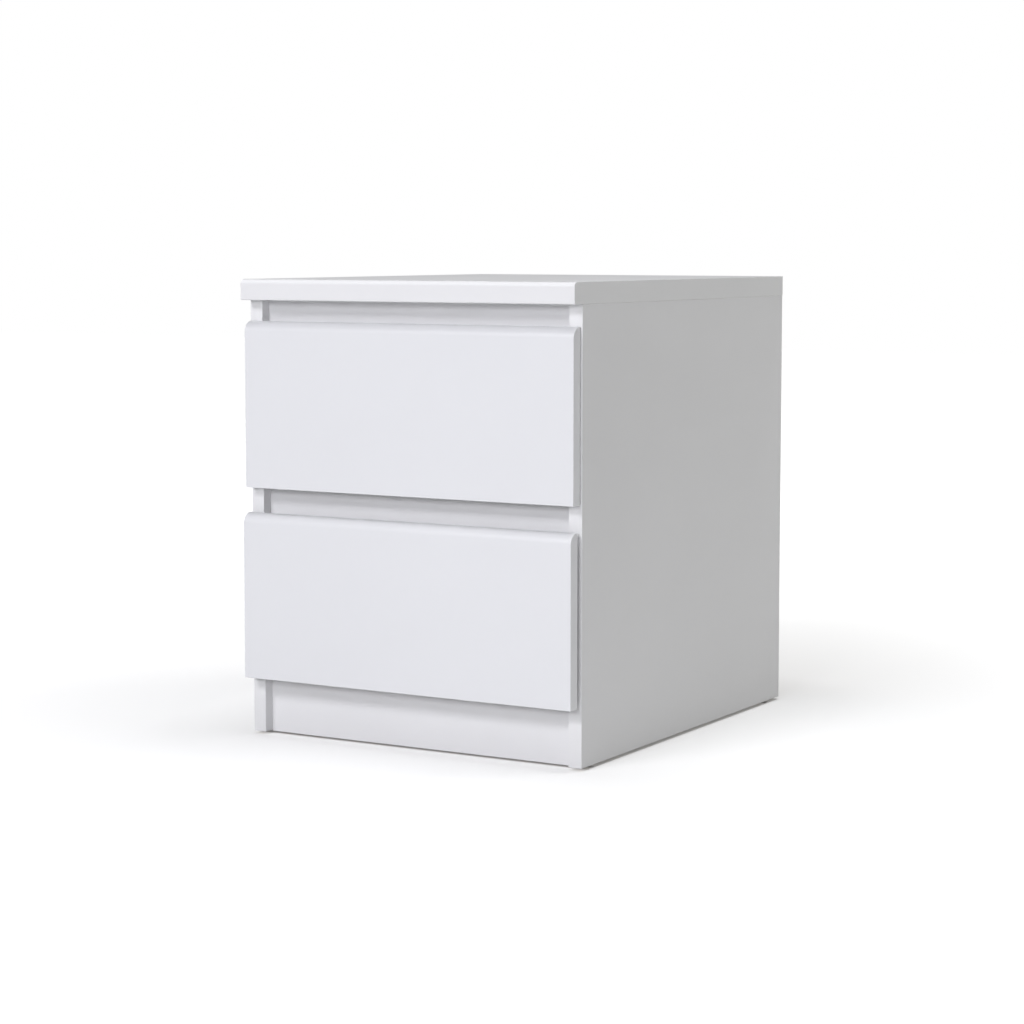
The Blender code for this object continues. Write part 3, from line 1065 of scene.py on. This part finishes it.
def cabinet_channel(level, side_name, side, screw, tools):
    """The channel on the side board: lip, ledge, web and top flange, holes, stop bump and wheel stub."""
    node = f"{level}_{side_name}_cabinet_runner"
    low, high = size_of(node)
    wheel_low, wheel_high = size_of(f"{level}_{side_name}_front_roller")
    wall, lip = (high.x, low.x) if side > 0 else (low.x, high.x)
    inwards = -side
    half = SHEET / 2
    path = [
        (lip - inwards * half, low.z + LIP_RISE),
        (lip - inwards * half, low.z + half),
        (wall + inwards * half, low.z + half),
        (wall + inwards * half, high.z - half),
        (wall + inwards * FLANGE_REACH, high.z - half),
    ]
    bm = prism(sheet_outline(path), "Y", low.y, high.y)
    obj = new_piece(f"{level}_{side_name}_channel", bm, ["epoxy"])
    web_x = wall + inwards * half
    hole_z = low.z + CHANNEL_HOLE_RISE
    facing = "-X" if side > 0 else "+X"
    obj = punched(obj, tools, (web_x, low.y, hole_z), facing)
    first_x, last_x = sorted((web_x + inwards * MOUTH_WALL, lip + inwards * 0.002))
    mouth = block(
        (first_x, low.y - 0.001, high.z - MOUTH_DEPTH),
        (last_x, low.y + MOUTH_LENGTH, high.z + 0.001),
    )
    obj = carve(obj, mouth)
    wheel = (wheel_low + wheel_high) / 2
    far_x = wheel_low.x if side > 0 else wheel_high.x
    extras = [stub_and_rivet(wheel.y, wheel.z, web_x, far_x + inwards * STUB_REACH)]
    rear_low, rear_high = size_of(f"{level}_{side_name}_rear_roller")
    extras.append(stop_bump(level, low, rear_low, rear_high))
    obj = with_extras(obj, extras)
    fit(obj, "cabinet", "runner_steel", node)
    start = (wall + inwards * SHEET, low.y + HOLE_SETBACK, hole_z)
    seed = 3 + LEVELS.index(level)
    name = f"{level}_{side_name}_channel_screws"
    screws = fastener_row(name, screw, start, (0, SCREW_PITCH, 0), SCREW_COUNT, facing, "screw", seed)
    fit(screws, "cabinet", "zinc")


def stop_bump(level, channel_low, roller_low, roller_high):
    """The pressed bump in the ledge that ends the drawer's travel against its rear wheel."""
    joint = next(j for j in frame["joints"] if j["name"] == f"{level}_drawer_slide")
    travel = joint["range_m"][1]
    radius = (roller_high.z - roller_low.z) / 2
    reach = math.sqrt(radius**2 - (radius - BUMP_RISE) ** 2)
    y = (roller_low.y + roller_high.y) / 2 - travel - reach - CAM_CLEARANCE
    ledge = channel_low.z + SHEET
    outline = [(y - BUMP_LENGTH, ledge - 0.0004), (y, ledge - 0.0004), (y, ledge + 0.0022)]
    outline += [(y - BUMP_SLOPE, ledge + BUMP_RISE), (y - BUMP_LENGTH + BUMP_SLOPE, ledge + BUMP_RISE)]
    return prism(outline, "X", roller_low.x, roller_high.x)


def with_extras(obj, extras):
    """Adds closed shells to a piece and shades the whole."""
    bm = bmesh.new()
    bm.from_mesh(obj.data)
    for extra in extras:
        part = bpy.data.meshes.new("part")
        for face in extra.faces:
            face.smooth = True
        extra.to_mesh(part)
        extra.free()
        bm.from_mesh(part)
        bpy.data.meshes.remove(part)
    bm.to_mesh(obj.data)
    bm.free()
    obj.data.set_sharp_from_angle(angle=math.radians(35))
    return obj


def drawer_angle(level, side_name, side, screw, tools):
    """The angle under a drawer side: top flange that rides the front wheel, web, and foot."""
    node = f"{level}_{side_name}_drawer_runner"
    body = f"{level}_drawer"
    low, high = size_of(node)
    inwards = -side
    outer = high.x if side > 0 else low.x
    inner = low.x if side > 0 else high.x
    wall_low, wall_high = size_of(f"{level}_drawer_{side_name}_side")
    wall_x = wall_high.x if side > 0 else wall_low.x
    half = SHEET / 2
    web_x = wall_x - inwards * (CAM_CLEARANCE + half)
    top_z = wall_low.z + ANGLE_RISE
    path = [
        (outer + inwards * ANGLE_EDGE, top_z),
        (web_x, top_z),
        (web_x, low.z + half),
        (inner, low.z + half),
    ]
    bm = prism(sheet_outline(path), "Y", low.y, high.y)
    obj = new_piece(f"{level}_{side_name}_angle", bm, ["epoxy"])
    hole_z = wall_low.z + ANGLE_HOLE_RISE
    facing = "+X" if side > 0 else "-X"
    obj = punched(obj, tools, (web_x, low.y, hole_z), facing)
    wheel_low, wheel_high = size_of(f"{level}_{side_name}_rear_roller")
    first_x, last_x = sorted((outer - inwards * 0.002, web_x - inwards * 0.0007))
    notch = block(
        (first_x, wheel_low.y - NOTCH_LEAD, top_z - NOTCH_HALF_HEIGHT),
        (last_x, high.y + 0.001, top_z + NOTCH_HALF_HEIGHT),
    )
    obj = carve(obj, notch)
    wheel = (wheel_low + wheel_high) / 2
    far_x = wheel_high.x if side > 0 else wheel_low.x
    obj = with_extras(obj, [stub_and_rivet(wheel.y, wheel.z, web_x, far_x - inwards * STUB_REACH)])
    fit(obj, body, "runner_steel", node)
    start = (web_x - inwards * half, low.y + HOLE_SETBACK, hole_z)
    seed = 9 + LEVELS.index(level)
    name = f"{level}_{side_name}_angle_screws"
    screws = fastener_row(name, screw, start, (0, SCREW_PITCH, 0), SCREW_COUNT, facing, "screw", seed)
    fit(screws, body, "zinc")


def runners():
    screw = pan_head_screw()
    tools = punches()
    for level in LEVELS:
        for side_name, side in SIDES:
            cabinet_channel(level, side_name, side, screw, tools)
            drawer_angle(level, side_name, side, screw, tools)
            for end in ("front", "rear"):
                node = f"{level}_{side_name}_{end}_roller"
                nylon_roller(f"{level}_{side_name}_{end}_wheel", node, node)
    return screw


# ---------------------------------------------------------------- drawers

def drawer_front(level):
    """The lacquered front: its upper front edge is one full round over the finger pull."""
    node = f"{level}_drawer_front"
    low, high = size_of(node)
    bm = block(low, high)
    soften(bm, PULL_ROUND, 18, edge_at(low.y, high.z))
    soften(bm, FRONT_ARRIS, 3)
    obj = new_piece(f"{level}_front_board", bm, ["lacquer"])
    fit(even_shading(obj, 60), f"{level}_drawer", "white_lacquer", node)


def drawer_wall(level, side_name, side):
    """A drawer side wrapped in foil over its rounded top, grooved for the bottom."""
    node = f"{level}_drawer_{side_name}_side"
    low, high = size_of(node)
    inner, outer = (low.x, high.x) if side > 0 else (high.x, low.x)
    inwards = -side
    groove_x = inner - inwards * GROOVE_DEPTH
    groove_z = low.z + GROOVE_RISE
    outline = [
        (outer, low.z),
        (outer, high.z),
        (inner, high.z),
        (inner, groove_z + GROOVE_WIDTH),
        (groove_x, groove_z + GROOVE_WIDTH),
        (groove_x, groove_z),
        (inner, groove_z),
        (inner, low.z),
    ]
    bm = prism(outline, "Y", low.y, high.y)
    soften(bm, WRAP_ROUND, 6, rim_edge(high.z, 1))
    soften(bm, HAIR_ARRIS, 1)
    sawn = {"+Y": "chipboard", "-Z": "chipboard"}
    obj = new_piece(f"{level}_{side_name}_wall", bm, ["foil", "chipboard"], sawn)
    obj = drill_cams(obj, [f"{level}_drawer_{side_name}_cam"], "-X" if side > 0 else "+X")
    fit(even_shading(obj), f"{level}_drawer", "white_foil", node)


def drawer_rear(level):
    node = f"{level}_drawer_back"
    low, high = size_of(node)
    bm = block(low, high)
    soften(bm, WRAP_ROUND, 6, rim_edge(high.z, 0))
    soften(bm, HAIR_ARRIS, 1)
    sawn = {"-Z": "chipboard", "-X": "chipboard", "+X": "chipboard"}
    obj = new_piece(f"{level}_rear_wall", bm, ["foil", "chipboard"], sawn)
    fit(even_shading(obj), f"{level}_drawer", "white_foil", node)


def drawer_floor(level):
    """The hardboard bottom. It ends at the front's inner face, so it shows no hole there."""
    node = f"{level}_drawer_bottom"
    low, high = size_of(node)
    _, front_high = size_of(f"{level}_drawer_front")
    low.y = front_high.y - FLOOR_TUCK
    bm = block(low, high)
    soften(bm, HAIR_ARRIS, 1)
    obj = new_piece(f"{level}_floor_board", bm, ["brown", "print"], {"+Z": "print"})
    fit(even_shading(obj), f"{level}_drawer", "hardboard", node)


def drawer_fasteners(level, screw):
    """Front cams, the screws through the sides into the rear wall, and nails under the bottom."""
    body = f"{level}_drawer"
    for side_name, side in SIDES:
        outward = "-X" if side > 0 else "+X"
        node = f"{level}_drawer_{side_name}_cam"
        low, high = size_of(node)
        master = cam_lock((high.z - low.z) / 2, high.x - low.x)
        name, seed = f"{level}_{side_name}_front_cam", 2 + LEVELS.index(level)
        cam = set_fasteners(name, master, cam_faces([node], outward), outward, "zinc", seed)
        fit(cam, body, "zinc", node)
        wall_low, wall_high = size_of(f"{level}_drawer_{side_name}_side")
        rear_low, rear_high = size_of(f"{level}_drawer_back")
        x = wall_high.x if side > 0 else wall_low.x
        y = (rear_low.y + rear_high.y) / 2
        start = (x - side * CORNER_SCREW_SINK, y, rear_low.z + CORNER_SCREW_RISE)
        facing = "+X" if side > 0 else "-X"
        name = f"{level}_{side_name}_corner_screws"
        heads = fastener_row(name, screw, start, (0, 0, CORNER_SCREW_PITCH), 2, facing, "screw", 6)
        fit(heads, body, "zinc")
    rear_low, rear_high = size_of(f"{level}_drawer_back")
    floor_low, _ = size_of(f"{level}_drawer_bottom")
    profile = [(0.0, NAIL_RISE), (0.7 * NAIL_RADIUS, NAIL_RISE), (NAIL_RADIUS, 0.0), (0.0, 0.0)]
    nail = nail_head(f"{level}_nail_master", profile)
    y = (rear_low.y + rear_high.y) / 2
    pitch = (rear_high.x - rear_low.x) / FLOOR_NAILS
    start = (rear_low.x + pitch / 2, y, floor_low.z)
    nails = fastener_row(f"{level}_floor_nails", nail, start, (pitch, 0, 0), FLOOR_NAILS, "-Z", "screw")
    fit(nails, body, "zinc")


def drawer(level, screw):
    drawer_front(level)
    for side_name, side in SIDES:
        drawer_wall(level, side_name, side)
    drawer_rear(level)
    drawer_floor(level)
    drawer_fasteners(level, screw)


# ---------------------------------------------------------------- studio

FLOOR_HALF = 9.0
FLOOR_COLOUR = (0.68, 0.68, 0.68, 1)
# Painted light on the floor: a camera-only glow, weaker near the chest and rising to full white far away.
FLOOR_GLOW = 0.395
FLOOR_FAR_GLOW = 1.0
# Painted contact shade: the share of the floor's glow left beneath the chest.
PAINTED_SHADE_UNDER_CHEST = 0.35
UNDER_FROM, UNDER_TO = -0.001, 0.002
FLOOR_FADE_FROM = 0.38
FLOOR_FADE_TO = 1.66
LENS = 89.588
CAMERA_PLACE = (1.4005, -2.4161, 0.5243)
CAMERA_PITCH = math.radians(5.127)
CAMERA_YAW = math.radians(30.319)
SHIFT_Y = -0.04
ROOM_LIGHT = 0.01
LIT_POINT = (0.0, 0.0, 0.25)
SOFTBOXES = (
    # name, place, width, height, watts, colour
    ("low_front_softbox", (0.540, -3.843, 1.218), 1.4, 0.7, 45.0, (0.990, 0.988, 1.030)),
    ("high_front_softbox", (-0.705, -3.318, 2.370), 1.4, 0.85, 59.0, (0.990, 0.988, 1.030)),
    ("overhead_softbox", (0.0, 0.0, 4.25), 1.7, 1.7, 81.0, (0.995, 1.0, 1.010)),
    ("rear_softbox", (2.879, 2.416, 1.618), 1.7, 1.7, 51.0, (1.0, 1.0, 0.975)),
)


def painted_contact_shade(tree, place):
    """Painted contact shade: 1 on the floor beside the chest and a smaller share of the glow beneath it,
    blended over 3 mm.
    """
    split = tree.nodes.new("ShaderNodeSeparateXYZ")
    tree.links.new(place, split.inputs["Vector"])
    _, side_high = size_of("right_side_panel")
    plinth_low, _ = size_of("plinth_board")
    across = combine(tree, split.outputs["X"], 0.0, "ABSOLUTE")
    across = combine(tree, across, side_high.x, "SUBTRACT")
    ahead = combine(tree, plinth_low.y, split.outputs["Y"], "SUBTRACT")
    behind = combine(tree, split.outputs["Y"], side_high.y, "SUBTRACT")
    gap = combine(tree, combine(tree, across, ahead, "MAXIMUM"), behind, "MAXIMUM")
    return spread(tree, gap, PAINTED_SHADE_UNDER_CHEST, 1.0, UNDER_FROM, UNDER_TO)


def studio_floor():
    """A pale floor with a glow that only the camera sees: painted light that whitens it far away and is
    weaker near the chest, with painted contact shade beneath the chest.
    """
    bm = bmesh.new()
    bmesh.ops.create_grid(bm, x_segments=1, y_segments=1, size=FLOOR_HALF)
    mesh = bpy.data.meshes.new("studio_floor")
    bm.to_mesh(mesh)
    bm.free()
    made, tree, shader, place = start_finish("studio_floor")
    shader.inputs["Base Color"].default_value = FLOOR_COLOUR
    shader.inputs["Roughness"].default_value = 0.9
    shader.inputs["Specular IOR Level"].default_value = 0.1
    length = tree.nodes.new("ShaderNodeVectorMath")
    length.operation = "LENGTH"
    tree.links.new(place, length.inputs[0])
    away = length.outputs["Value"]
    # painted light: the glow rises with distance from the chest
    glow = spread(tree, away, FLOOR_GLOW, FLOOR_FAR_GLOW, FLOOR_FADE_FROM, FLOOR_FADE_TO)
    # painted contact shade: less glow beneath the chest
    glow = combine(tree, glow, painted_contact_shade(tree, place), "MULTIPLY")
    seen = tree.nodes.new("ShaderNodeLightPath").outputs["Is Camera Ray"]
    glow = combine(tree, glow, seen, "MULTIPLY")
    shader.inputs["Emission Color"].default_value = (1, 1, 1, 1)
    tree.links.new(glow, shader.inputs["Emission Strength"])
    mesh.materials.append(made)
    floor = bpy.data.objects.new("studio_floor", mesh)
    bpy.context.scene.collection.objects.link(floor)


def studio_light():
    """A white surround and four large softboxes."""
    world = bpy.data.worlds.new("studio")
    bpy.context.scene.world = world
    world.use_nodes = True
    tree = world.node_tree
    room = tree.nodes["Background"]
    room.inputs["Color"].default_value = (1, 1, 1, 1)
    room.inputs["Strength"].default_value = ROOM_LIGHT
    surround = tree.nodes.new("ShaderNodeBackground")
    surround.inputs["Color"].default_value = (1, 1, 1, 1)
    surround.inputs["Strength"].default_value = 1.0
    rays = tree.nodes.new("ShaderNodeLightPath")
    mix = tree.nodes.new("ShaderNodeMixShader")
    tree.links.new(rays.outputs["Is Camera Ray"], mix.inputs["Fac"])
    tree.links.new(room.outputs["Background"], mix.inputs[1])
    tree.links.new(surround.outputs["Background"], mix.inputs[2])
    tree.links.new(mix.outputs["Shader"], tree.nodes["World Output"].inputs["Surface"])
    for name, place, width, height, watts, colour in SOFTBOXES:
        softbox = bpy.data.lights.new(name, "AREA")
        softbox.shape = "RECTANGLE"
        softbox.size = width
        softbox.size_y = height
        softbox.energy = watts
        softbox.color = colour
        lamp = bpy.data.objects.new(name, softbox)
        lamp.location = place
        lamp.rotation_euler = (Vector(LIT_POINT) - Vector(place)).to_track_quat("-Z", "Y").to_euler()
        bpy.context.scene.collection.objects.link(lamp)


def studio_camera():
    data = bpy.data.cameras.new("camera")
    data.lens = LENS
    data.shift_y = SHIFT_Y
    data.clip_start = 0.05
    data.clip_end = 50.0
    camera = bpy.data.objects.new("camera", data)
    camera.location = CAMERA_PLACE
    camera.rotation_euler = (math.pi / 2 - CAMERA_PITCH, 0, CAMERA_YAW)
    bpy.context.scene.collection.objects.link(camera)
    bpy.context.scene.camera = camera
    bpy.context.scene.view_settings.view_transform = "Standard"


# ---------------------------------------------------------------- assembly

top_board()
for side_name, side in SIDES:
    side_board(side_name, side)
cross_rails()
carcass_cams()
back_board()
floor_glides()
screw = runners()
for level in LEVELS:
    drawer(level, screw)
studio_floor()
studio_light()
studio_camera()
